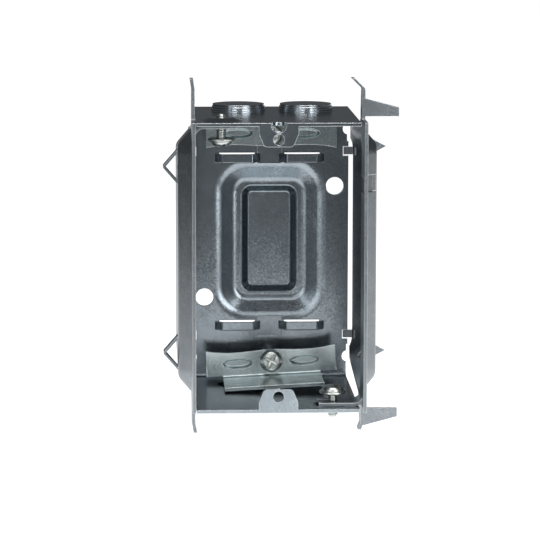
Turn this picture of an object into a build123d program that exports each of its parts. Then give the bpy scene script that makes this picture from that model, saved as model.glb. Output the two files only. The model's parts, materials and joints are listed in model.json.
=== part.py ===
from build123d import *
from math import atan, cos, degrees, radians, sin, tan
import os

# Single-gang steel device box, open to the front.
# Millimetres. +X right, +Y into the box, +Z up.
# The origin is midway between the two device-screw holes, on the front plane.

# Steel sheet
sheet = 1.1
fold_radius = 1.1

# Body: top wall, back plate and bottom wall in one folded strip
body_height = 94.0
body_depth = 63.5
wall_width = 52.8
back_width = 53.8
back_wide_height = 70.0
notch_radius = 2.0
notch_drop = 7.8

# Device tabs, folded from the front edges of the two walls
device_hole_drop = 5.35
device_hole_radius = 1.75
device_neck_radius = 2.5
device_neck_length = 1.2
tab_width = 12.7
tab_below_hole = 2.35
tab_taper = 4.1
tab_tip_width = 9.2
tab_corner_radius = 1.5
driver_hole_radius = 2.45
driver_hole_drop = 0.7

# Knockouts, two in each wall
knockout_spacing = 22.5
knockout_setback = 16.3
knockout_radius = 9.1
knockout_rim = 1.9
knockout_step = 0.76
knockout_step_in = 0.25
knockout_steps = 3
tie_gap_width = 1.6
tie_gap_depth = 0.5

# Pressed pocket of the back plate, in two steps
pocket_width = 35.5
pocket_height = 52.7
pocket_corner = 10.3
pocket_depth = 2.5
pocket_slope = 6.0
pocket_side_land = 2.4
pocket_end_land = 2.05
inner_corner = 3.4
inner_depth = 2.5
inner_slope = 2.1
pocket_radius = 8.0
pocket_floor_radius = 5.0
inner_radius = 0.9
pocket_rise = 1.3

# Shallow necks above and below the pocket
neck_width = 10.4
neck_length = 7.0
neck_depth = 0.7

# Lanced bridges of the back plate
bridge_x = 11.05
bridge_z = 28.8
bridge_width = 14.2
bridge_height = 2.8
bridge_rise = 2.4
bridge_ramp = 2.2
bridge_slit = 0.35

# Round holes of the back plate
back_hole_x = 22.2
back_hole_z = 19.05
back_hole_radius = 3.0

# How far the bridges and round holes stand above the middle of the back plate
lance_rise = 0.6

# Side screws: one holds the foot of each side plate
side_screw_x = 18.15
side_screw_y = 9.7
side_screw_radius = 1.75
side_screw_length = 7.8
side_screw_head_radius = 4.4
side_screw_washer = 0.9
side_screw_dome_radius = 3.5
side_screw_dome_height = 2.0
side_screw_slot = 0.9
upper_screw_gap = 3.4
lower_screw_gap = 2.5
thread_clearance = 0.05
boss_base_radius = 6.5
boss_top_radius = 4.2
boss_height = 1.0

# Side plates
left_standoff = 0.2
right_standoff = 1.1
front_strip = 12.7
pan_height = 4.35
pan_slope = 5.0
pan_front_margin = 2.8
pan_rear_margin = 7.7
pan_bend_radius = 2.5
pan_overrun = 1.5
plate_brim = 0.6
pan_corner = 8.0
foot_width = 10.0
foot_reach = 4.8
foot_gap = 0.05
foot_bend = 2.6
foot_slot_clearance = 0.35
hook_drop = 15.4
hook_height = 2.6
hook_reach = 1.6
hook_clearance = 0.3

# Ears that run on from the side plates
ear_root_length = 6.5
ear_tip_length = 5.0
ear_rear_height = 2.6
upper_ear_height = 9.9
lower_ear_height = 5.8
right_upper_tip = (-3.4, 3.35)
right_lower_tip = (-0.8, 2.3)
left_upper_tip = (0.5, 3.3)
left_lower_tip = (-0.6, 3.0)

# Gauge tabs, barbs and window of the right plate
gauge_low_rise = 0.9
gauge_high_rise = 6.75
gauge_tip_rise = 3.85
gauge_reach = 10.95
barb_drop = 12.3
barb_setback = 15.9
barb_base = 5.8
barb_reach = 5.6
window_drop = 21.15
window_height = 5.5
window_start = 2.4
window_end = 17.4

# V loops of the left plate
loop_drop = 16.25
loop_y = 24.0
loop_half_height = 5.8
loop_reach = 5.05
loop_strip = 0.8
loop_width = 5.0
loop_tip_radius = 0.9
loop_land = 0.6

# Cable clamps and their screws
clamp_sheet = 1.1
clamp_setback = 13.5
clamp_half_width = 22.0
clamp_wall_gap = 1.5
clamp_top_drop = 11.9
clamp_dip_x = 11.5
clamp_dip = 1.1
clamp_middle_dip = 0.6
clamp_wing_drop = 3.0
clamp_bend = 0.75
clamp_foot_width = 33.2
clamp_foot_length = 20.0
clamp_hole_clearance = 0.35
saddle_x = 11.3
saddle_width = 10.0
saddle_height = 3.5
saddle_depth = 1.5
saddle_slope = 0.8
saddle_drop = 0.5
lower_clamp_tilt = 3.0
clamp_screw_drop = 7.45
clamp_screw_radius = 2.08
clamp_screw_length = 18.0
clamp_screw_head_radius = 4.0
clamp_screw_head_height = 2.4
clamp_screw_neck_radius = 3.3
clamp_screw_neck_length = 1.1
recess_radius = 2.6
recess_width = 1.0
recess_depth = 1.2

# Worked out from the sizes above
outer_z = body_height / 2
inner_z = outer_z - sheet
back_front = body_depth - sheet
half_wall = wall_width / 2
half_back = back_width / 2
notch_height = outer_z - notch_drop
device_z = outer_z - device_hole_drop
tab_length = device_hole_drop + tab_below_hole
tab_shoulder = tab_length - tab_taper
pan_front_half = outer_z - pan_front_margin
pan_rear_half = outer_z - pan_rear_margin
pan_end = body_depth + pan_overrun
ear_end_y = front_strip + ear_root_length
hook_z = outer_z - hook_drop
barb_z = outer_z - barb_drop
window_z = outer_z - window_drop
loop_z = outer_z - loop_drop
knockout_y = body_depth - knockout_setback
barb_y = body_depth - barb_setback
clamp_y = body_depth - clamp_setback
inner_width = pocket_width - 2 * (pocket_slope + pocket_side_land)
inner_height = pocket_height - 2 * (pocket_slope + pocket_end_land)
gauge_root_low = outer_z + gauge_low_rise
gauge_root_high = outer_z + gauge_high_rise
gauge_tip_high = outer_z + gauge_tip_rise
clamp_screw_z = inner_z - clamp_screw_drop
clamp_top = inner_z - clamp_top_drop
clamp_wing_bottom = inner_z - clamp_wing_drop
press_slope = atan(pocket_depth / pocket_slope)
inner_press_slope = atan(inner_depth / inner_slope)
pan_angle = atan(pan_height / pan_slope)
boss_angle = atan(boss_height / (boss_base_radius - boss_top_radius))
knockout_height = knockout_step * knockout_steps
near = sheet / 20

os.makedirs("parts", exist_ok=True)


def facing_back(y, x=0.0, z=0.0):
    return Plane(origin=(x, y, z), x_dir=(1, 0, 0), z_dir=(0, 1, 0))


def facing_front(y, x=0.0, z=0.0):
    return Plane(origin=(x, y, z), x_dir=(1, 0, 0), z_dir=(0, -1, 0))


def facing_up(z, x=0.0, y=0.0):
    return Plane(origin=(x, y, z), x_dir=(1, 0, 0), z_dir=(0, 0, 1))


def press_growth(slope_angle):
    # how much wider the far side of a pressed sheet is at its bend
    return sheet * tan(slope_angle / 2)


def pocket_bends(bend_y, reach_x, reach_z):
    # edges of the pocket that lie at this depth, within this width and height
    return box_body.edges().filter_by(
        lambda bend: abs(bend.center().Y - bend_y) < near
        and abs(bend.center().X) < reach_x / 2 + near
        and abs(bend.center().Z - pocket_rise) < reach_z / 2 + near
    )


# Body
with BuildPart() as box_body:
    with BuildSketch(Plane.YZ):
        with BuildLine():
            FilletPolyline(
                (0, -outer_z), (body_depth, -outer_z), (body_depth, outer_z), (0, outer_z),
                radius=fold_radius + sheet,
            )
            offset(amount=sheet, side=Side.LEFT)
        make_face()
    extrude(amount=half_wall, both=True)

    # the back plate is a little wider than the walls
    with BuildSketch(facing_back(back_front)):
        Rectangle(back_width, back_wide_height)
    extrude(amount=sheet)

    # round reliefs at the four corners of the back plate
    with BuildSketch(facing_back(back_front - sheet)):
        with GridLocations(back_width, 2 * notch_height, 2, 2):
            Circle(notch_radius)
    extrude(amount=3 * sheet, mode=Mode.SUBTRACT)

    # outer step of the pocket, pressed out of the back
    growth = press_growth(press_slope)
    pocket_taper = 90 - degrees(press_slope)
    with BuildSketch(facing_back(body_depth, 0, pocket_rise)):
        RectangleRounded(pocket_width + 2 * growth, pocket_height + 2 * growth, pocket_corner + growth)
    extrude(amount=pocket_depth, taper=pocket_taper)
    with BuildSketch(facing_back(back_front, 0, pocket_rise)):
        RectangleRounded(pocket_width, pocket_height, pocket_corner)
    extrude(amount=pocket_depth, taper=pocket_taper, mode=Mode.SUBTRACT)

    for bend_y, bend_radius in (
        (back_front, pocket_radius),
        (body_depth, pocket_radius),
        (back_front + pocket_depth, pocket_floor_radius),
        (body_depth + pocket_depth, pocket_floor_radius),
    ):
        fillet(pocket_bends(bend_y, pocket_width + 2 * growth, pocket_height + 2 * growth), bend_radius)

    # inner step of the pocket
    inner_growth = press_growth(inner_press_slope)
    inner_taper = 90 - degrees(inner_press_slope)
    with BuildSketch(facing_back(body_depth + pocket_depth, 0, pocket_rise)):
        RectangleRounded(
            inner_width + 2 * inner_growth, inner_height + 2 * inner_growth, inner_corner + inner_growth
        )
    extrude(amount=inner_depth, taper=inner_taper)
    with BuildSketch(facing_back(back_front + pocket_depth, 0, pocket_rise)):
        RectangleRounded(inner_width, inner_height, inner_corner)
    extrude(amount=inner_depth, taper=inner_taper, mode=Mode.SUBTRACT)
    for step_y in (back_front + pocket_depth, body_depth + pocket_depth):
        for bend_y in (step_y, step_y + inner_depth):
            fillet(
                pocket_bends(bend_y, inner_width + 2 * inner_growth, inner_height + 2 * inner_growth),
                inner_radius,
            )

    # shallow necks between the pocket and the clamp screws
    neck_z = pocket_height / 2 + neck_length / 2
    with BuildSketch(facing_back(body_depth, 0, pocket_rise)):
        with GridLocations(0, 2 * neck_z, 1, 2):
            Rectangle(neck_width, neck_length + 2 * sheet)
    extrude(amount=neck_depth)
    with BuildSketch(facing_back(back_front, 0, pocket_rise)):
        with GridLocations(0, 2 * neck_z, 1, 2):
            Rectangle(neck_width - 2 * sheet, neck_length)
    extrude(amount=neck_depth, mode=Mode.SUBTRACT)

    # lanced bridges that stand in from the back plate
    with BuildSketch(facing_back(back_front - sheet, 0, lance_rise)):
        with GridLocations(2 * bridge_x, 2 * bridge_z, 2, 2):
            Rectangle(bridge_width - 2 * sheet, bridge_height + 2 * bridge_slit)
    extrude(amount=3 * sheet, mode=Mode.SUBTRACT)
    for bridge_side_x in (-bridge_x, bridge_x):
        for bridge_side_z in (lance_rise - bridge_z, lance_rise + bridge_z):
            left_end = bridge_side_x - bridge_width / 2
            right_end = bridge_side_x + bridge_width / 2
            with BuildSketch(facing_up(bridge_side_z - bridge_height / 2)):
                with BuildLine():
                    Polyline(
                        (left_end, body_depth),
                        (left_end + bridge_ramp, body_depth - bridge_rise),
                        (right_end - bridge_ramp, body_depth - bridge_rise),
                        (right_end, body_depth),
                    )
                    offset(amount=sheet, side=Side.RIGHT)
                make_face()
            extrude(amount=bridge_height)

    # round holes in the back plate
    with BuildSketch(facing_front(back_front, 0, lance_rise)):
        with Locations((back_hole_x, back_hole_z), (-back_hole_x, -back_hole_z)):
            Circle(back_hole_radius)
    extrude(amount=-sheet, mode=Mode.SUBTRACT)

    # drawn and tapped necks for the clamp screws
    with BuildSketch(facing_back(body_depth)):
        with GridLocations(0, 2 * clamp_screw_z, 1, 2):
            Circle(clamp_screw_neck_radius)
    extrude(amount=clamp_screw_neck_length)
    with BuildSketch(facing_back(back_front)):
        with GridLocations(0, 2 * clamp_screw_z, 1, 2):
            Circle(clamp_screw_radius + thread_clearance)
    extrude(amount=sheet + clamp_screw_neck_length, mode=Mode.SUBTRACT)

    # everything on the two walls: up is +1 on the top wall and -1 on the bottom wall
    for up in (1, -1):
        # device tab with its drawn and tapped hole
        fold_z = up * outer_z
        with BuildSketch(facing_front(0)) as device_tab:
            with BuildLine():
                Polyline(
                    (-tab_width / 2, fold_z),
                    (-tab_width / 2, fold_z - up * tab_shoulder),
                    (-tab_tip_width / 2, fold_z - up * tab_length),
                    (tab_tip_width / 2, fold_z - up * tab_length),
                    (tab_width / 2, fold_z - up * tab_shoulder),
                    (tab_width / 2, fold_z),
                    close=True,
                )
            make_face()
            tab_corners = device_tab.vertices().filter_by(
                lambda corner: abs(corner.Y) < outer_z - tab_shoulder / 2
            )
            fillet(tab_corners, tab_corner_radius)
        extrude(amount=-sheet)
        with BuildSketch(facing_back(sheet, 0, up * device_z)):
            Circle(device_neck_radius)
        extrude(amount=device_neck_length)
        with BuildSketch(facing_back(0, 0, up * device_z)):
            Circle(device_hole_radius)
        extrude(amount=sheet + device_neck_length, mode=Mode.SUBTRACT)

        # knockouts, standing out of the wall in steps, each held by one tie
        for knockout_x in (-knockout_spacing / 2, knockout_spacing / 2):
            hollow_radius = knockout_radius - knockout_rim
            with BuildSketch(facing_up(up * inner_z, knockout_x, knockout_y)):
                Circle(hollow_radius)
            extrude(amount=up * sheet, mode=Mode.SUBTRACT)
            with BuildSketch(facing_front(knockout_y)):
                with BuildLine():
                    steps = [(knockout_x + knockout_radius, up * inner_z)]
                    for step in range(knockout_steps):
                        step_radius = knockout_x + knockout_radius - step * knockout_step_in
                        steps.append((step_radius, up * (outer_z + step * knockout_step)))
                        steps.append((step_radius, up * (outer_z + (step + 1) * knockout_step)))
                    Polyline(
                        *steps[:1],
                        *steps[2:],
                        (knockout_x, up * (outer_z + knockout_height)),
                        (knockout_x, up * (outer_z + knockout_height - sheet)),
                        (knockout_x + hollow_radius, up * (outer_z + knockout_height - sheet)),
                        (knockout_x + hollow_radius, up * inner_z),
                        close=True,
                    )
                make_face()
            revolve(axis=Axis((knockout_x, knockout_y, 0), (0, 0, 1)))
            tie_y = knockout_y - knockout_radius + tie_gap_depth
            with BuildSketch(facing_up(up * outer_z, knockout_x, tie_y)):
                Rectangle(tie_gap_width, 2 * tie_gap_depth)
            extrude(amount=up * knockout_step, mode=Mode.SUBTRACT)

        # pressed boss for the side screw, left on the top wall and right on the bottom wall
        boss_x = -up * side_screw_x
        boss_bore = side_screw_radius + thread_clearance
        with BuildSketch(facing_up(up * inner_z, boss_x, side_screw_y)):
            Circle(boss_base_radius)
        extrude(amount=up * sheet, mode=Mode.SUBTRACT)
        with BuildSketch(facing_front(side_screw_y)):
            with BuildLine():
                Polyline(
                    (boss_x + boss_bore, up * (inner_z + boss_height)),
                    (boss_x + boss_top_radius - press_growth(boss_angle), up * (inner_z + boss_height)),
                    (boss_x + boss_base_radius - press_growth(boss_angle), up * inner_z),
                    (boss_x + boss_base_radius + near, up * inner_z),
                    (boss_x + boss_base_radius + near, up * outer_z),
                    (boss_x + boss_base_radius, up * outer_z),
                    (boss_x + boss_top_radius, up * (outer_z + boss_height)),
                    (boss_x + boss_bore, up * (outer_z + boss_height)),
                    close=True,
                )
            make_face()
        revolve(axis=Axis((boss_x, side_screw_y, 0), (0, 0, 1)))

    # hole through the fold of the upper tab, for a screwdriver to reach the clamp screw
    with BuildSketch(facing_front(0)):
        with Locations((0, outer_z - driver_hole_drop)):
            Circle(driver_hole_radius)
    extrude(amount=-2 * sheet, mode=Mode.SUBTRACT)
    with BuildSketch(facing_up(inner_z)):
        with Locations((0, driver_hole_drop)):
            Circle(driver_hole_radius)
    extrude(amount=sheet, mode=Mode.SUBTRACT)

    # notches in the back plate's side edges for the hooks of the side plates
    with BuildSketch(facing_back(back_front)):
        with GridLocations(back_width, 2 * hook_z, 2, 2):
            Rectangle(2 * (hook_reach + hook_clearance), hook_height + 2 * hook_clearance)
    extrude(amount=sheet, mode=Mode.SUBTRACT)

box_body.part.label = "box_body"
export_step(box_body.part, "parts/box_body.step")


# Side plates: right is +1 on the right plate and -1 on the left plate.
# The plates are turned half round the Y axis from each other, so a place across
# the plate is given as right * Z in the sketches that both share.
plate_rows = (
    ("left_side_plate", -1, left_standoff, left_upper_tip, left_lower_tip),
    ("right_side_plate", 1, right_standoff, right_upper_tip, right_lower_tip),
)
for plate_name, right, standoff, upper_tip, lower_tip in plate_rows:
    plate_in = half_wall + standoff
    plate_out = plate_in + sheet
    growth = press_growth(pan_angle)
    pan_taper = 90 - degrees(pan_angle)
    inner_plane = Plane(origin=(right * plate_in, 0, 0), x_dir=(0, 1, 0), z_dir=(right, 0, 0))
    outer_plane = inner_plane.offset(sheet)

    with BuildPart() as plate:
        # flat sheet
        with BuildSketch(inner_plane):
            with BuildLine():
                Polyline(
                    (0, -outer_z),
                    (ear_end_y, -outer_z),
                    (ear_end_y + pan_corner / 2, -pan_front_half),
                    (body_depth, -pan_rear_half - plate_brim),
                    (body_depth, pan_rear_half + plate_brim),
                    (ear_end_y + pan_corner / 2, pan_front_half),
                    (ear_end_y, outer_z),
                    (0, outer_z),
                    close=True,
                )
            make_face()
        extrude(amount=sheet)

        # pressed pan
        for pan_start, pan_mode in ((outer_plane, Mode.ADD), (inner_plane, Mode.SUBTRACT)):
            with BuildSketch(pan_start) as pan_outline:
                with BuildLine():
                    Polyline(
                        (front_strip, -pan_front_half),
                        (pan_end, -pan_rear_half),
                        (pan_end, pan_rear_half),
                        (front_strip, pan_front_half),
                        close=True,
                    )
                make_face()
                fillet(pan_outline.vertices(), pan_corner)
                if pan_mode == Mode.SUBTRACT:
                    offset(amount=-growth)
            extrude(amount=pan_height, taper=pan_taper, mode=pan_mode)
        for pan_floor, bend_radius in (
            (plate_out + pan_height, pan_bend_radius + sheet),
            (plate_in + pan_height, pan_bend_radius),
        ):
            pan_bends = plate.edges().filter_by(lambda bend: abs(bend.center().X - right * pan_floor) < near)
            fillet(pan_bends, bend_radius)
        with BuildSketch(facing_back(body_depth)):
            Rectangle(4 * plate_out, 2 * body_height)
        extrude(amount=pan_overrun + sheet, mode=Mode.SUBTRACT)

        # ears above and below, with bent tips
        for up, ear_height, tip in ((1, upper_ear_height, upper_tip), (-1, lower_ear_height, lower_tip)):
            side = right * up
            with BuildSketch(inner_plane):
                with BuildLine():
                    Polyline(
                        (front_strip, side * (outer_z - sheet)),
                        (front_strip, side * (outer_z + ear_height)),
                        (front_strip + ear_tip_length, side * (outer_z + ear_height)),
                        (ear_end_y, side * (outer_z + ear_rear_height)),
                        (ear_end_y, side * (outer_z - sheet)),
                        close=True,
                    )
                make_face()
            extrude(amount=sheet)
            ear_end = up * (outer_z + ear_height)
            tip_x = right * tip[0]
            tip_z = ear_end + up * tip[1]
            with BuildSketch(facing_back(front_strip)):
                with BuildLine():
                    Polyline(
                        (right * plate_in, -ear_end),
                        (right * plate_out, -ear_end),
                        (right * plate_out + tip_x, -tip_z),
                        (right * plate_in + tip_x, -tip_z),
                        close=True,
                    )
                make_face()
            extrude(amount=ear_tip_length)

        # foot that turns in under the side screw, with a slot open at its end
        wall_in = -right * (inner_z - foot_gap)
        foot_top = wall_in + right * sheet
        foot_end = right * (side_screw_x - foot_reach)
        with BuildSketch(facing_back(side_screw_y - foot_width / 2)):
            with BuildLine():
                FilletPolyline(
                    (foot_end, -wall_in),
                    (right * (plate_in + sheet), -wall_in),
                    (right * (plate_in + sheet), -wall_in - right * 2 * (foot_bend + sheet)),
                    radius=foot_bend + sheet,
                )
                offset(amount=sheet, side=Side.RIGHT)
            make_face()
        extrude(amount=foot_width)
        slot_radius = side_screw_radius + foot_slot_clearance
        with BuildSketch(facing_up(wall_in, right * side_screw_x, side_screw_y)):
            Circle(slot_radius)
            with Locations((-right * foot_reach / 2, 0)):
                Rectangle(foot_reach, 2 * slot_radius)
        extrude(amount=right * sheet, mode=Mode.SUBTRACT)

        # hooks that turn in behind the back plate
        hook_end = half_back - hook_reach
        with BuildSketch(facing_front(body_depth + foot_gap)):
            for hook_side in (-1, 1):
                with Locations((right * (hook_end + plate_out + pan_overrun) / 2, hook_side * hook_z)):
                    Rectangle(plate_out + pan_overrun - hook_end, hook_height)
        extrude(amount=-sheet)
        with BuildSketch(facing_front(body_depth - sheet)):
            for hook_side in (-1, 1):
                with Locations((right * (plate_out + pan_overrun - sheet / 2), hook_side * hook_z)):
                    Rectangle(sheet, hook_height)
        extrude(amount=-2 * sheet - foot_gap)

        if right > 0:
            pan_face = plate_out + pan_height
            for up in (1, -1):
                # gauge tab that stops against the front of a stud
                with BuildSketch(facing_front(front_strip)):
                    with BuildLine():
                        Polyline(
                            (plate_in, up * gauge_root_low),
                            (plate_out + gauge_reach, up * gauge_root_low),
                            (plate_out + gauge_reach, up * gauge_tip_high),
                            (plate_out, up * gauge_root_high),
                            (plate_in, up * gauge_root_high),
                            close=True,
                        )
                    make_face()
                extrude(amount=-sheet)
                # barb
                with BuildSketch(facing_front(barb_y)):
                    with BuildLine():
                        Polyline(
                            (pan_face - sheet, up * (barb_z - barb_base / 2)),
                            (pan_face, up * (barb_z - barb_base / 2)),
                            (pan_face + barb_reach, up * barb_z),
                            (pan_face, up * (barb_z + barb_base / 2)),
                            (pan_face - 2 * sheet, up * (barb_z + barb_base / 2)),
                            close=True,
                        )
                    make_face()
                extrude(amount=-sheet)
                # opening that the barb was lanced from
                with BuildSketch(inner_plane):
                    with Locations((barb_y + sheet + barb_reach / 2, up * barb_z)):
                        Rectangle(barb_reach, barb_base)
                extrude(amount=pan_height + sheet, mode=Mode.SUBTRACT)
            # window across the front strip and the front of the pan
            with BuildSketch(inner_plane):
                with Locations(((window_start + window_end) / 2, window_z)):
                    Rectangle(window_end - window_start, window_height)
            extrude(amount=pan_height + sheet, mode=Mode.SUBTRACT)
        else:
            pan_face = plate_out + pan_height
            for up in (1, -1):
                # opening behind the loop, then the loop itself
                with BuildSketch(inner_plane):
                    with Locations((loop_y, up * loop_z)):
                        Rectangle(loop_width, 2 * (loop_half_height - loop_strip - loop_land))
                extrude(amount=pan_height + sheet, mode=Mode.SUBTRACT)
                with BuildSketch(facing_front(loop_y - loop_width / 2)):
                    with BuildLine():
                        FilletPolyline(
                            (-pan_face + sheet, up * loop_z - loop_half_height),
                            (-pan_face, up * loop_z - loop_half_height),
                            (-pan_face - loop_reach, up * loop_z),
                            (-pan_face, up * loop_z + loop_half_height),
                            (-pan_face + sheet, up * loop_z + loop_half_height),
                            radius=loop_tip_radius,
                        )
                        offset(amount=loop_strip, side=Side.RIGHT)
                    make_face()
                extrude(amount=-loop_width)

    plate.part.label = plate_name
    export_step(plate.part, f"parts/{plate_name}.step")


# Cable clamps: an upright plate with two cable saddles, and a foot that lies along the wall
for clamp_name, up, tilt in (("upper_cable_clamp", 1, 0.0), ("lower_cable_clamp", -1, lower_clamp_tilt)):
    clamp_plane = Plane(
        origin=(0, clamp_y, up * clamp_screw_z),
        x_dir=(cos(radians(tilt)), 0, sin(radians(tilt))),
        z_dir=(0, -1, 0),
    )
    foot_out = up * (inner_z - clamp_wall_gap - clamp_screw_z)
    top_edge = up * (clamp_top - clamp_screw_z)
    wing_end = up * (clamp_wing_bottom - clamp_screw_z)
    half_foot = clamp_foot_width / 2
    bend_plane = Plane(origin=clamp_plane.origin, x_dir=(0, -1, 0), z_dir=-clamp_plane.x_dir)

    with BuildPart() as clamp:
        with BuildSketch(clamp_plane):
            with BuildLine():
                Spline(
                    (-clamp_half_width, top_edge),
                    (-clamp_dip_x, top_edge + up * clamp_dip),
                    (0, top_edge + up * clamp_middle_dip),
                    (clamp_dip_x, top_edge + up * clamp_dip),
                    (clamp_half_width, top_edge),
                )
                Polyline(
                    (clamp_half_width, top_edge),
                    (clamp_half_width, wing_end),
                    (-clamp_half_width, wing_end),
                    (-clamp_half_width, top_edge),
                )
            make_face()
        extrude(amount=-clamp_sheet)

        # foot, turned forward in one bend
        with BuildSketch(bend_plane):
            with BuildLine():
                FilletPolyline(
                    (-clamp_sheet, 0),
                    (-clamp_sheet, foot_out),
                    (clamp_foot_length, foot_out),
                    radius=clamp_bend + clamp_sheet,
                )
                offset(amount=clamp_sheet, side=Side.RIGHT if up > 0 else Side.LEFT)
            make_face()
        extrude(amount=half_foot, both=True)

        # cable saddles, pressed back
        for clamp_side_x in (-saddle_x, saddle_x):
            for start_y, wider, saddle_mode in (
                (clamp_sheet, clamp_sheet / 2, Mode.ADD),
                (0, 0, Mode.SUBTRACT),
            ):
                with BuildSketch(clamp_plane.offset(-start_y)):
                    with Locations((clamp_side_x, up * saddle_drop)):
                        Ellipse(saddle_width / 2 + wider, saddle_height / 2 + wider)
                narrower = wider - saddle_slope
                with BuildSketch(clamp_plane.offset(-start_y - saddle_depth)):
                    with Locations((clamp_side_x, up * saddle_drop)):
                        Ellipse(saddle_width / 2 + narrower, saddle_height / 2 + narrower)
                loft(mode=saddle_mode)

        # hole for the clamp screw
        with BuildSketch(clamp_plane):
            Circle(clamp_screw_radius + clamp_hole_clearance)
        extrude(amount=-clamp_sheet, mode=Mode.SUBTRACT)

    clamp.part.label = clamp_name
    export_step(clamp.part, f"parts/{clamp_name}.step")


# Clamp screws: pan head with a cross recess, shank through the clamp into the back plate
for screw_name, up in (("upper_clamp_screw", 1), ("lower_clamp_screw", -1)):
    with BuildPart() as screw:
        with BuildSketch(facing_back(clamp_y, 0, up * clamp_screw_z)):
            Circle(clamp_screw_radius)
        extrude(amount=clamp_screw_length)
        with BuildSketch(facing_front(clamp_y, 0, up * clamp_screw_z)):
            Circle(clamp_screw_head_radius)
        extrude(amount=clamp_screw_head_height)
        head_rim = screw.edges().filter_by(GeomType.CIRCLE).sort_by(Axis.Y)[0]
        fillet(head_rim, clamp_screw_head_height / 2)
        tip_rim = screw.edges().filter_by(GeomType.CIRCLE).sort_by(Axis.Y)[-1]
        chamfer(tip_rim, clamp_screw_radius / 3)
        head_front = clamp_y - clamp_screw_head_height
        with BuildSketch(facing_back(head_front, 0, up * clamp_screw_z)):
            Rectangle(2 * recess_radius, recess_width)
            Rectangle(recess_width, 2 * recess_radius)
        extrude(amount=recess_depth, mode=Mode.SUBTRACT)
    screw.part.label = screw_name
    export_step(screw.part, f"parts/{screw_name}.step")


# Side screws: flanged dome head with one slot
for screw_name, up, gap in (
    ("left_side_screw", 1, upper_screw_gap),
    ("right_side_screw", -1, lower_screw_gap),
):
    axis_x = -up * side_screw_x
    seat_z = up * (inner_z - foot_gap - sheet - gap)
    with BuildPart() as screw:
        with BuildSketch(facing_up(seat_z, axis_x, side_screw_y)):
            Circle(side_screw_radius)
        extrude(amount=up * side_screw_length)
        with BuildSketch(facing_up(seat_z, axis_x, side_screw_y)):
            Circle(side_screw_head_radius)
        extrude(amount=-up * side_screw_washer)
        with BuildSketch(facing_up(seat_z - up * side_screw_washer, axis_x, side_screw_y)):
            Circle(side_screw_dome_radius)
        extrude(amount=-up * side_screw_dome_height)
        rims = screw.edges().filter_by(GeomType.CIRCLE).sort_by(Axis.Z)
        dome_rim, tip_rim = (rims[0], rims[-1]) if up > 0 else (rims[-1], rims[0])
        fillet(dome_rim, side_screw_dome_height * 2 / 3)
        fillet(tip_rim, side_screw_radius / 2)
        dome_end = seat_z - up * (side_screw_washer + side_screw_dome_height)
        with BuildSketch(facing_up(dome_end, axis_x, side_screw_y)):
            Rectangle(2 * side_screw_dome_radius, side_screw_slot)
        extrude(amount=up * side_screw_dome_height / 2, mode=Mode.SUBTRACT)
    screw.part.label = screw_name
    export_step(screw.part, f"parts/{screw_name}.step")
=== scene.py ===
import json
import math

import bpy
import numpy as np
from mathutils import Matrix, Vector


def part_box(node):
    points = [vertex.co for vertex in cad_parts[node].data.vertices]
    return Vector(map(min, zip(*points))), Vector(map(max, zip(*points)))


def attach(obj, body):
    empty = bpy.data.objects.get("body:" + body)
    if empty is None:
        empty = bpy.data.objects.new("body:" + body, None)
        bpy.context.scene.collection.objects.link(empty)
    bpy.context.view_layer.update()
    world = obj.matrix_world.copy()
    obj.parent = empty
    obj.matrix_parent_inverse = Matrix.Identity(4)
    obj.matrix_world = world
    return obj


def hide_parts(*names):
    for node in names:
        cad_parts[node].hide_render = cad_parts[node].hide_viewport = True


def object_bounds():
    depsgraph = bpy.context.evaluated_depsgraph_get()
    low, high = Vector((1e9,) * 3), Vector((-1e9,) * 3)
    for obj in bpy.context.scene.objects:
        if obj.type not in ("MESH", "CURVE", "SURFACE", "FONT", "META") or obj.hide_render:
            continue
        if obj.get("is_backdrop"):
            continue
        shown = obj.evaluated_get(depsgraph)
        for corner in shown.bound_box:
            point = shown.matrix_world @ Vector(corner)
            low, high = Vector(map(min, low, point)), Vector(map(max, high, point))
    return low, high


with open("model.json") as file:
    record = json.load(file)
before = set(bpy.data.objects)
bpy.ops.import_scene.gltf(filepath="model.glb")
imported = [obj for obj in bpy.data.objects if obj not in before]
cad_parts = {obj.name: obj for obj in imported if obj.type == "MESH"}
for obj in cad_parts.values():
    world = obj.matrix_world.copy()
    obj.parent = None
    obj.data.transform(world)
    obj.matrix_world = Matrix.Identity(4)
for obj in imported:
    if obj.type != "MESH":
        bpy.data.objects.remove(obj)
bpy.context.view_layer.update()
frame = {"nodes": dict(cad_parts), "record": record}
nodes = frame["nodes"]
scene = bpy.context.scene
millimetre = 0.001
print("frame loaded")


# Node helpers
def newGroup(name, inputs, outputs):
    group = bpy.data.node_groups.new(name, "ShaderNodeTree")
    for label, kind, value in inputs:
        socket = group.interface.new_socket(label, in_out="INPUT", socket_type=kind)
        socket.default_value = value
    for label, kind in outputs:
        group.interface.new_socket(label, in_out="OUTPUT", socket_type=kind)
    return group, group.nodes.new("NodeGroupInput"), group.nodes.new("NodeGroupOutput")


def addMath(tree, operation, first, second=None, clamp=False):
    node = tree.nodes.new("ShaderNodeMath")
    node.operation = operation
    node.use_clamp = clamp
    for socket, value in zip(node.inputs, (first, second)):
        if isinstance(value, (int, float)):
            socket.default_value = value
        elif value is not None:
            tree.links.new(value, socket)
    return node.outputs[0]


def addVector(tree, operation, first, second=None, scale=None):
    node = tree.nodes.new("ShaderNodeVectorMath")
    node.operation = operation
    for socket, value in zip(node.inputs, (first, second)):
        if isinstance(value, tuple):
            socket.default_value = value
        elif value is not None:
            tree.links.new(value, socket)
    if scale is not None:
        tree.links.new(scale, node.inputs["Scale"])
    return node.outputs["Value"] if operation == "DOT_PRODUCT" else node.outputs["Vector"]


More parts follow.
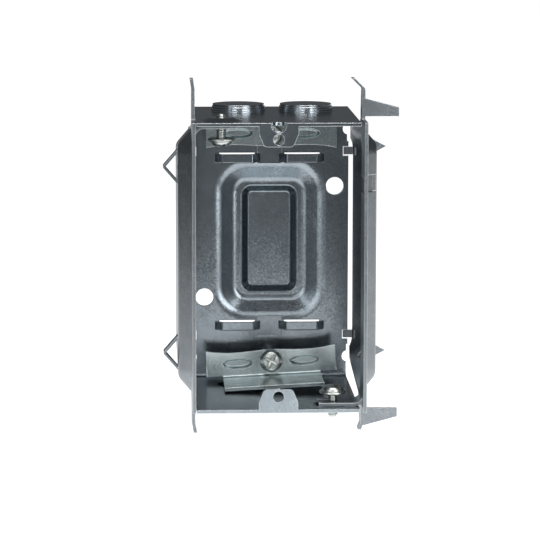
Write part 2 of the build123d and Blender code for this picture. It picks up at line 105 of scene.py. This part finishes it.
def mixColour(tree, factor, first, second):
    node = tree.nodes.new("ShaderNodeMix")
    node.data_type = "RGBA"
    tree.links.new(factor, node.inputs["Factor"])
    for socket, value in zip((node.inputs[6], node.inputs[7]), (first, second)):
        if isinstance(value, tuple):
            socket.default_value = value
        else:
            tree.links.new(value, socket)
    return node.outputs[2]


# Zinc grain: crystals that differ in tone and tilt, under larger clouds
def makeZincGrain():
    group, given, result = newGroup(
        "zincGrain",
        [
            ("Grain Scale", "NodeSocketFloat", 1500.0),
            ("Cloud Scale", "NodeSocketFloat", 90.0),
            ("Tilt", "NodeSocketFloat", 0.15),
            ("Soft Normal", "NodeSocketVector", (0.0, 0.0, 1.0)),
        ],
        [("Tone", "NodeSocketFloat"), ("Clouds", "NodeSocketFloat"), ("Normal", "NodeSocketVector")],
    )
    place = group.nodes.new("ShaderNodeTexCoord").outputs["Object"]
    crystals = group.nodes.new("ShaderNodeTexVoronoi")
    group.links.new(place, crystals.inputs["Vector"])
    group.links.new(given.outputs["Grain Scale"], crystals.inputs["Scale"])
    clouds = group.nodes.new("ShaderNodeTexNoise")
    clouds.inputs["Detail"].default_value = 6.0
    clouds.inputs["Roughness"].default_value = 0.7
    group.links.new(place, clouds.inputs["Vector"])
    group.links.new(given.outputs["Cloud Scale"], clouds.inputs["Scale"])
    channels = group.nodes.new("ShaderNodeSeparateColor")
    group.links.new(crystals.outputs["Color"], channels.inputs["Color"])
    cloudContrast, cloudOffset = 2.4, -0.7
    cloudTone = addMath(group, "MULTIPLY_ADD", clouds.outputs["Fac"], cloudContrast, clamp=True)
    cloudTone.node.inputs[2].default_value = cloudOffset
    group.links.new(channels.outputs["Red"], result.inputs["Tone"])
    group.links.new(cloudTone, result.inputs["Clouds"])
    lean = addVector(group, "SUBTRACT", crystals.outputs["Color"], (0.5, 0.5, 0.5))
    lean = addVector(group, "SCALE", lean, scale=given.outputs["Tilt"])
    leaned = addVector(group, "ADD", lean, given.outputs["Soft Normal"])
    group.links.new(addVector(group, "NORMALIZE", leaned), result.inputs["Normal"])
    return group


# Soft edges: rounded normals, and a mask along the sheared edges, where the base colour is lightened as a
# painted highlight
def makeSoftEdges():
    group, given, result = newGroup(
        "softEdges",
        [("Radius", "NodeSocketFloat", 0.0003)],
        [("Normal", "NodeSocketVector"), ("Edge", "NodeSocketFloat")],
    )
    bevel = group.nodes.new("ShaderNodeBevel")
    bevel.samples = 8
    group.links.new(given.outputs["Radius"], bevel.inputs["Radius"])
    facing = group.nodes.new("ShaderNodeNewGeometry").outputs["Normal"]
    likeness = addVector(group, "DOT_PRODUCT", bevel.outputs["Normal"], facing)
    turned = addMath(group, "SUBTRACT", 1.0, likeness, clamp=True)
    edgeGain = 9.0
    edgeHighlight = addMath(group, "MULTIPLY", turned, edgeGain, clamp=True)
    group.links.new(bevel.outputs["Normal"], result.inputs["Normal"])
    group.links.new(edgeHighlight, result.inputs["Edge"])
    return group


zincGrain = makeZincGrain()
softEdges = makeSoftEdges()


def makeZinc(name, look):
    material = bpy.data.materials.new(name)
    material.use_nodes = True
    tree = material.node_tree
    shader = tree.nodes["Principled BSDF"]
    edges = tree.nodes.new("ShaderNodeGroup")
    edges.node_tree = softEdges
    edges.inputs["Radius"].default_value = look["edgeRadius"]
    grain = tree.nodes.new("ShaderNodeGroup")
    grain.node_tree = zincGrain
    grain.inputs["Grain Scale"].default_value = look["grainScale"]
    grain.inputs["Cloud Scale"].default_value = look["cloudScale"]
    grain.inputs["Tilt"].default_value = look["tilt"]
    tree.links.new(edges.outputs["Normal"], grain.inputs["Soft Normal"])
    tone = addMath(tree, "MULTIPLY", grain.outputs["Tone"], grain.outputs["Clouds"])
    plain = mixColour(tree, tone, look["dark"], look["light"])
    # the lighter edge colour along the sheet edges is a painted highlight
    withEdgeHighlight = mixColour(tree, edges.outputs["Edge"], plain, look["edgeHighlight"])
    tree.links.new(withEdgeHighlight, shader.inputs["Base Color"])
    rough = addMath(tree, "MULTIPLY_ADD", grain.outputs["Tone"], look["roughSpread"])
    rough.node.inputs[2].default_value = look["rough"]
    tree.links.new(rough, shader.inputs["Roughness"])
    tree.links.new(grain.outputs["Normal"], shader.inputs["Normal"])
    shader.inputs["Metallic"].default_value = look["metallic"]
    return material


# each finish's edge colour is a painted highlight for the sheet edges
bodySteel = {
    "dark": (0.25, 0.285, 0.31, 1.0),
    "light": (0.38, 0.425, 0.46, 1.0),
    "edgeHighlight": (0.62, 0.65, 0.67, 1.0),
    "edgeRadius": 0.0003,
    "grainScale": 2600.0,
    "cloudScale": 110.0,
    "tilt": 0.04,
    "rough": 0.19,
    "roughSpread": 0.05,
    "metallic": 1.0,
}
plateSteel = {
    "dark": (0.22, 0.24, 0.255, 1.0),
    "light": (0.34, 0.365, 0.385, 1.0),
    "edgeHighlight": (0.64, 0.67, 0.69, 1.0),
    "edgeRadius": 0.0003,
    "grainScale": 2300.0,
    "cloudScale": 90.0,
    "tilt": 0.035,
    "rough": 0.33,
    "roughSpread": 0.08,
    "metallic": 1.0,
}
clampSteel = {
    "dark": (0.45, 0.51, 0.52, 1.0),
    "light": (0.64, 0.71, 0.715, 1.0),
    "edgeHighlight": (0.72, 0.74, 0.74, 1.0),
    "edgeRadius": 0.00025,
    "grainScale": 2200.0,
    "cloudScale": 140.0,
    "tilt": 0.02,
    "rough": 0.2,
    "roughSpread": 0.06,
    "metallic": 1.0,
}
screwSteel = {
    "dark": (0.55, 0.57, 0.54, 1.0),
    "light": (0.7, 0.73, 0.7, 1.0),
    "edgeHighlight": (0.74, 0.76, 0.73, 1.0),
    "edgeRadius": 0.00015,
    "grainScale": 2600.0,
    "cloudScale": 200.0,
    "tilt": 0.03,
    "rough": 0.27,
    "roughSpread": 0.06,
    "metallic": 1.0,
}
finishes = {
    "body_steel": makeZinc("bodySteel", bodySteel),
    "plate_steel": makeZinc("plateSteel", plateSteel),
    "clamp_steel": makeZinc("clampSteel", clampSteel),
    "screw_steel": makeZinc("screwSteel", screwSteel),
}
for subpart in frame["record"]["subparts"]:
    mesh = nodes[subpart["node"]].data
    mesh.materials.clear()
    mesh.materials.append(finishes[subpart["material_slot"]])
print("materials made")


# Mesh helpers, and how finely the screws are drawn
fineness = {
    "shankAround": 40,
    "shankPerTurn": 12,
    "turnedAround": 64,
    "domeChords": 33,
    "crossAround": 160,
    "crossRings": 44,
    "sharpAngle": 40,
}


def addPiece(name, points, faces, body, node):
    mesh = bpy.data.meshes.new(name)
    mesh.from_pydata([tuple(point) for point in points], [], faces)
    mesh.materials.append(finishes["screw_steel"])
    piece = bpy.data.objects.new(name, mesh)
    scene.collection.objects.link(piece)
    mesh.shade_smooth()
    mesh.set_sharp_from_angle(angle=math.radians(fineness["sharpAngle"]))
    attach(piece, body)
    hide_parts(node)
    return piece


def gridFaces(rows, columns, start, closed):
    faces = []
    for row in range(rows - 1):
        for column in range(columns if closed else columns - 1):
            following = (column + 1) % columns
            faces.append((
                start + row * columns + column,
                start + row * columns + following,
                start + (row + 1) * columns + following,
                start + (row + 1) * columns + column,
            ))
    return faces


# Threaded shank from height 0 to its length, as one wound surface that runs out at the tip, where it is
# closed
def makeShank(sizes, start):
    around = fineness["shankAround"]
    steps = int(sizes["length"] / sizes["pitch"] * fineness["shankPerTurn"]) + 1
    heights = np.linspace(0.0, sizes["length"], steps)
    points = []
    for height in heights:
        for turn in range(around):
            angle = 2 * math.pi * turn / around
            phase = (height / sizes["pitch"] - turn / around) % 1.0
            ridge = max(0.0, 1.0 - abs(phase - 0.5) * sizes["flankSteepness"])
            fade = min(1.0, (sizes["length"] - height) / sizes["tipLength"])
            depth = sizes["crest"] - sizes["root"]
            radius = sizes["root"] + depth * ridge * fade - sizes["tipDrop"] * (1.0 - fade)
            points.append((radius * math.cos(angle), radius * math.sin(angle), height))
    faces = gridFaces(steps, around, start, True)
    faces.append(tuple(start + (steps - 1) * around + turn for turn in range(around)))
    return points, faces


# Turned profile: radius and height pairs from the rim to the middle
def makeTurned(profile, start):
    around = fineness["turnedAround"]
    points = []
    for radius, height in profile:
        for turn in range(around):
            angle = 2 * math.pi * turn / around
            points.append((radius * math.cos(angle), radius * math.sin(angle), height))
    return points, gridFaces(len(profile), around, start, True)


# Slotted dome, drawn in chords that run along the slot
def makeSlottedDome(sizes, start):
    half = sizes["slot"] / 2
    lastAngle = math.pi / 2 - sizes["domeRimAngle"]
    outer = sizes["domeRadius"] * np.sin(np.linspace(-lastAngle, lastAngle, fineness["domeChords"]))
    # the slot's walls stand between the two chords on each of its sides
    slotEdges = [side * half * share for side in (-1, 1) for share in (0.98, 1.08)]
    chords = sorted([x for x in outer if abs(x) > half * 1.3] + slotEdges + [0.0])
    along = np.sin(np.linspace(-math.pi / 2, math.pi / 2, fineness["domeChords"]))
    points = []
    for x in chords:
        reach = math.sqrt(sizes["domeRadius"] ** 2 - x * x)
        for share in along:
            y = reach * share
            flat = min(1.0, math.hypot(x, y) / sizes["domeRadius"])
            height = sizes["domeHeight"] * math.sqrt(max(0.0, 1.0 - flat ** sizes["domeFullness"]))
            if abs(x) < half:
                height = min(height, sizes["slotFloor"])
            points.append((x, y, -sizes["washer"] - height))
    return points, gridFaces(len(chords), len(along), start, False)


# Pan head with a cross recess
def makeCrossHead(sizes, start):
    around = fineness["crossAround"]
    rings = fineness["crossRings"]
    points = []
    for ring in range(rings):
        share = ring / (rings - 1)
        radius = sizes["headRadius"] * math.sin(share * math.pi / 2) ** sizes["ringSpread"]
        for turn in range(around):
            angle = 2 * math.pi * turn / around
            x, y = radius * math.cos(angle), radius * math.sin(angle)
            flat = radius / sizes["headRadius"]
            height = sizes["domeHeight"] * math.sqrt(1.0 - flat ** sizes["domeFullness"])
            armX = max(abs(y) - sizes["crossWidth"] / 2, abs(x) - sizes["crossReach"])
            armY = max(abs(x) - sizes["crossWidth"] / 2, abs(y) - sizes["crossReach"])
            inside = min(1.0, max(0.0, -min(armX, armY) / sizes["crossWall"] + 0.5))
            floor = sizes["crossDepth"] * (1.0 - sizes["crossTaper"] * radius / sizes["crossReach"])
            points.append((x, y, -height + max(0.0, inside * floor)))
    return points, gridFaces(rings, around, start, True)


def placeScrew(points, origin, axis, spin):
    turn = Vector((0, 0, 1)).rotation_difference(Vector(axis)).to_matrix().to_4x4()
    matrix = Matrix.Translation(origin) @ turn @ Matrix.Rotation(spin, 4, "Z") @ Matrix.Scale(millimetre, 4)
    return [matrix @ Vector(point) for point in points]


# Side screws, which hold the feet of the side plates
sideScrew = {
    "length": 7.8,
    "pitch": 0.79,
    "crest": 1.73,
    "root": 1.36,
    "tipLength": 0.9,
    "tipDrop": 0.3,
    "flankSteepness": 2.6,
    "headHeight": 2.9,
    "headRadius": 4.38,
    "rimSoft": 0.1,
    "washer": 0.9,
    "domeRadius": 3.48,
    "domeHeight": 1.95,
    "domeFullness": 2.6,
    "domeRimAngle": 0.02,
    "slot": 0.9,
    "slotFloor": 0.9,
}
for node, body, up, spin in (
    ("left_side_screw", "left_fixing", 1, 0.3),
    ("right_side_screw", "right_fixing", -1, 0.9),
):
    low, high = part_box(node)
    headHeight = sideScrew["headHeight"] * millimetre
    seat = (low.z + headHeight) if up > 0 else (high.z - headHeight)
    points, faces = makeShank(sideScrew, 0)
    rim = sideScrew["headRadius"]
    soft = sideScrew["rimSoft"]
    under = -sideScrew["washer"]
    flange = [
        (sideScrew["root"], 0.0),
        (rim - 2 * soft, 0.0),
        (rim, -2 * soft),
        (rim, under + 2.5 * soft),
        (rim - soft, under + soft),
        (rim - 3 * soft, under),
        (sideScrew["domeRadius"] - soft, under),
    ]
    morePoints, moreFaces = makeTurned(flange, len(points))
    points += morePoints
    faces += moreFaces
    morePoints, moreFaces = makeSlottedDome(sideScrew, len(points))
    points += morePoints
    faces += moreFaces
    origin = Vector(((low.x + high.x) / 2, (low.y + high.y) / 2, seat))
    placed = placeScrew(points, origin, (0, 0, up), spin)
    addPiece(node + "_threaded", placed, faces, body, node)
print("side screws made")

# Clamp screws, which draw the clamps to the back plate
clampScrew = {
    "length": 18.0,
    "pitch": 0.79,
    "crest": 2.06,
    "root": 1.66,
    "tipLength": 0.9,
    "tipDrop": 0.3,
    "flankSteepness": 2.6,
    "headHeight": 2.4,
    "headRadius": 3.98,
    "rimBevel": 0.05,
    "domeHeight": 2.36,
    "domeFullness": 4,
    "ringSpread": 0.9,
    "crossWidth": 1.0,
    "crossReach": 2.5,
    "crossDepth": 1.5,
    "crossWall": 0.22,
    "crossTaper": 0.45,
}
for node, body, spin in (
    ("upper_clamp_screw", "upper_screw", 0.2),
    ("lower_clamp_screw", "lower_screw", 0.5),
):
    low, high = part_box(node)
    points, faces = makeShank(clampScrew, 0)
    rim = clampScrew["headRadius"]
    bevel = clampScrew["rimBevel"]
    collar = [(clampScrew["root"], 0.0), (rim - 3 * bevel, 0.0), (rim, -bevel)]
    morePoints, moreFaces = makeTurned(collar, len(points))
    points += morePoints
    faces += moreFaces
    morePoints, moreFaces = makeCrossHead(clampScrew, len(points))
    points += morePoints
    faces += moreFaces
    seat = low.y + clampScrew["headHeight"] * millimetre
    origin = Vector(((low.x + high.x) / 2, seat, (low.z + high.z) / 2))
    placed = placeScrew(points, origin, (0, 1, 0), spin)
    addPiece(node + "_threaded", placed, faces, body, node)
print("clamp screws made")


# Floor: white behind and beside the object, fading to grey further out
def fadeAlong(tree, value, start, end):
    node = tree.nodes.new("ShaderNodeMapRange")
    node.interpolation_type = "SMOOTHSTEP"
    tree.links.new(value, node.inputs["Value"])
    node.inputs["From Min"].default_value = start
    node.inputs["From Max"].default_value = end
    return node.outputs["Result"]


floorLook = {
    "reach": 8.0,
    "white": (0.85, 0.85, 0.85, 1.0),
    "grey": (0.12, 0.124, 0.128, 1.0),
    "rough": 0.9,
    "glow": 0.9,
    "left": (-0.34, -0.215),
    "right": (1.2, 0.5),
    "front": (-0.175, -0.148),
    "rear": (4.5, 3.2),
}


def makeFloor(look):
    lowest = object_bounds()[0].z
    reach = look["reach"]
    mesh = bpy.data.meshes.new("floor")
    turns = ((-1, -1), (1, -1), (1, 1), (-1, 1))
    mesh.from_pydata([(reach * x, reach * y, lowest) for x, y in turns], [], [(0, 1, 2, 3)])
    floor = bpy.data.objects.new("floor", mesh)
    scene.collection.objects.link(floor)
    material = bpy.data.materials.new("paleFloor")
    material.use_nodes = True
    tree = material.node_tree
    shader = tree.nodes["Principled BSDF"]
    shader.inputs["Roughness"].default_value = look["rough"]
    shader.inputs["Emission Color"].default_value = (1.0, 1.0, 1.0, 1.0)
    place = tree.nodes.new("ShaderNodeSeparateXYZ")
    tree.links.new(tree.nodes.new("ShaderNodeTexCoord").outputs["Object"], place.inputs[0])
    wide = addMath(
        tree, "MULTIPLY",
        fadeAlong(tree, place.outputs["X"], *look["left"]),
        fadeAlong(tree, place.outputs["X"], *look["right"]),
    )
    deep = addMath(
        tree, "MULTIPLY",
        fadeAlong(tree, place.outputs["Y"], *look["front"]),
        fadeAlong(tree, place.outputs["Y"], *look["rear"]),
    )
    pale = addMath(tree, "MULTIPLY", wide, deep)
    tree.links.new(mixColour(tree, pale, look["grey"], look["white"]), shader.inputs["Base Color"])
    rays = tree.nodes.new("ShaderNodeLightPath").outputs
    seen = addMath(tree, "ADD", rays["Is Camera Ray"], rays["Is Glossy Ray"], clamp=True)
    seen = addMath(tree, "ADD", seen, rays["Is Transmission Ray"], clamp=True)
    glow = addMath(tree, "MULTIPLY", addMath(tree, "MULTIPLY", seen, pale), look["glow"])
    tree.links.new(glow, shader.inputs["Emission Strength"])
    mesh.materials.append(material)
    floor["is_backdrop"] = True


makeFloor(floorLook)


# Lamps: soft panels, placed by where they stand and what they point at
def addPanel(name, look):
    lamp = bpy.data.lights.new(name, "AREA")
    lamp.shape = "RECTANGLE"
    lamp.size, lamp.size_y = look["size"]
    lamp.energy = look["power"]
    lamp.color = look["colour"]
    panel = bpy.data.objects.new(name, lamp)
    scene.collection.objects.link(panel)
    panel.location = look["place"]
    panel.rotation_mode = "QUATERNION"
    aim = Vector(look["aim"]) - Vector(look["place"])
    panel.rotation_quaternion = aim.to_track_quat("-Z", "Y")


topPanel = {
    "size": (1.1, 0.7),
    "power": 11.0,
    "colour": (1.0, 1.0, 1.0),
    "place": (0.1, -0.55, 1.15),
    "aim": (0.0, 0.03, 0.0),
}
leftPanel = {
    "size": (0.26, 0.34),
    "power": 0.5,
    "colour": (0.95, 0.98, 1.0),
    "place": (-0.29, -0.42, 0.09),
    "aim": (0.0, 0.05, 0.0),
}
rightPanel = {
    "size": (0.26, 0.34),
    "power": 1.05,
    "colour": (0.98, 0.99, 1.0),
    "place": (0.29, -0.42, 0.09),
    "aim": (0.0, 0.05, 0.0),
}
rearPanel = {
    "size": (0.5, 0.5),
    "power": 1.0,
    "colour": (0.98, 0.99, 1.0),
    "place": (-0.26, -1.3, 0.15),
    "aim": (0.0, 0.05, 0.0),
}
highPanel = {
    "size": (0.6, 0.3),
    "power": 0.8,
    "colour": (0.98, 0.99, 1.0),
    "place": (0.0, -1.2, 0.55),
    "aim": (0.0, 0.05, 0.0),
}
addPanel("topPanel", topPanel)
addPanel("leftPanel", leftPanel)
addPanel("rightPanel", rightPanel)
addPanel("rearPanel", rearPanel)
addPanel("highPanel", highPanel)

roomColour = (0.1, 0.104, 0.108, 1.0)
world = bpy.data.worlds.new("room")
world.use_nodes = True
world.node_tree.nodes["Background"].inputs["Color"].default_value = roomColour
scene.world = world
scene.view_settings.view_transform = "Standard"
print("floor and lamps made")

# Camera, with its yaw, pitch and roll in degrees
viewer = {
    "place": (-0.04906, -0.95202, 0.13555),
    "yaw": 2.78,
    "pitch": -8.11,
    "roll": 0.09,
    "lens": 200.0,
    "sensor": 36.0,
    "nearest": 0.05,
}
yaw, pitch, roll = (math.radians(viewer[angle]) for angle in ("yaw", "pitch", "roll"))
ahead = Vector((math.sin(yaw) * math.cos(pitch), math.cos(yaw) * math.cos(pitch), math.sin(pitch)))
level = Vector((math.cos(yaw), -math.sin(yaw), 0.0))
upright = level.cross(ahead)
across = math.cos(roll) * level + math.sin(roll) * upright
upright = -math.sin(roll) * level + math.cos(roll) * upright
camera = bpy.data.objects.new("camera", bpy.data.cameras.new("camera"))
scene.collection.objects.link(camera)
camera.data.lens = viewer["lens"]
camera.data.sensor_width = viewer["sensor"]
camera.data.clip_start = viewer["nearest"]
turned = Matrix((across, upright, -ahead)).transposed().to_4x4()
camera.matrix_world = Matrix.Translation(Vector(viewer["place"])) @ turned
scene.camera = camera
print("camera placed")
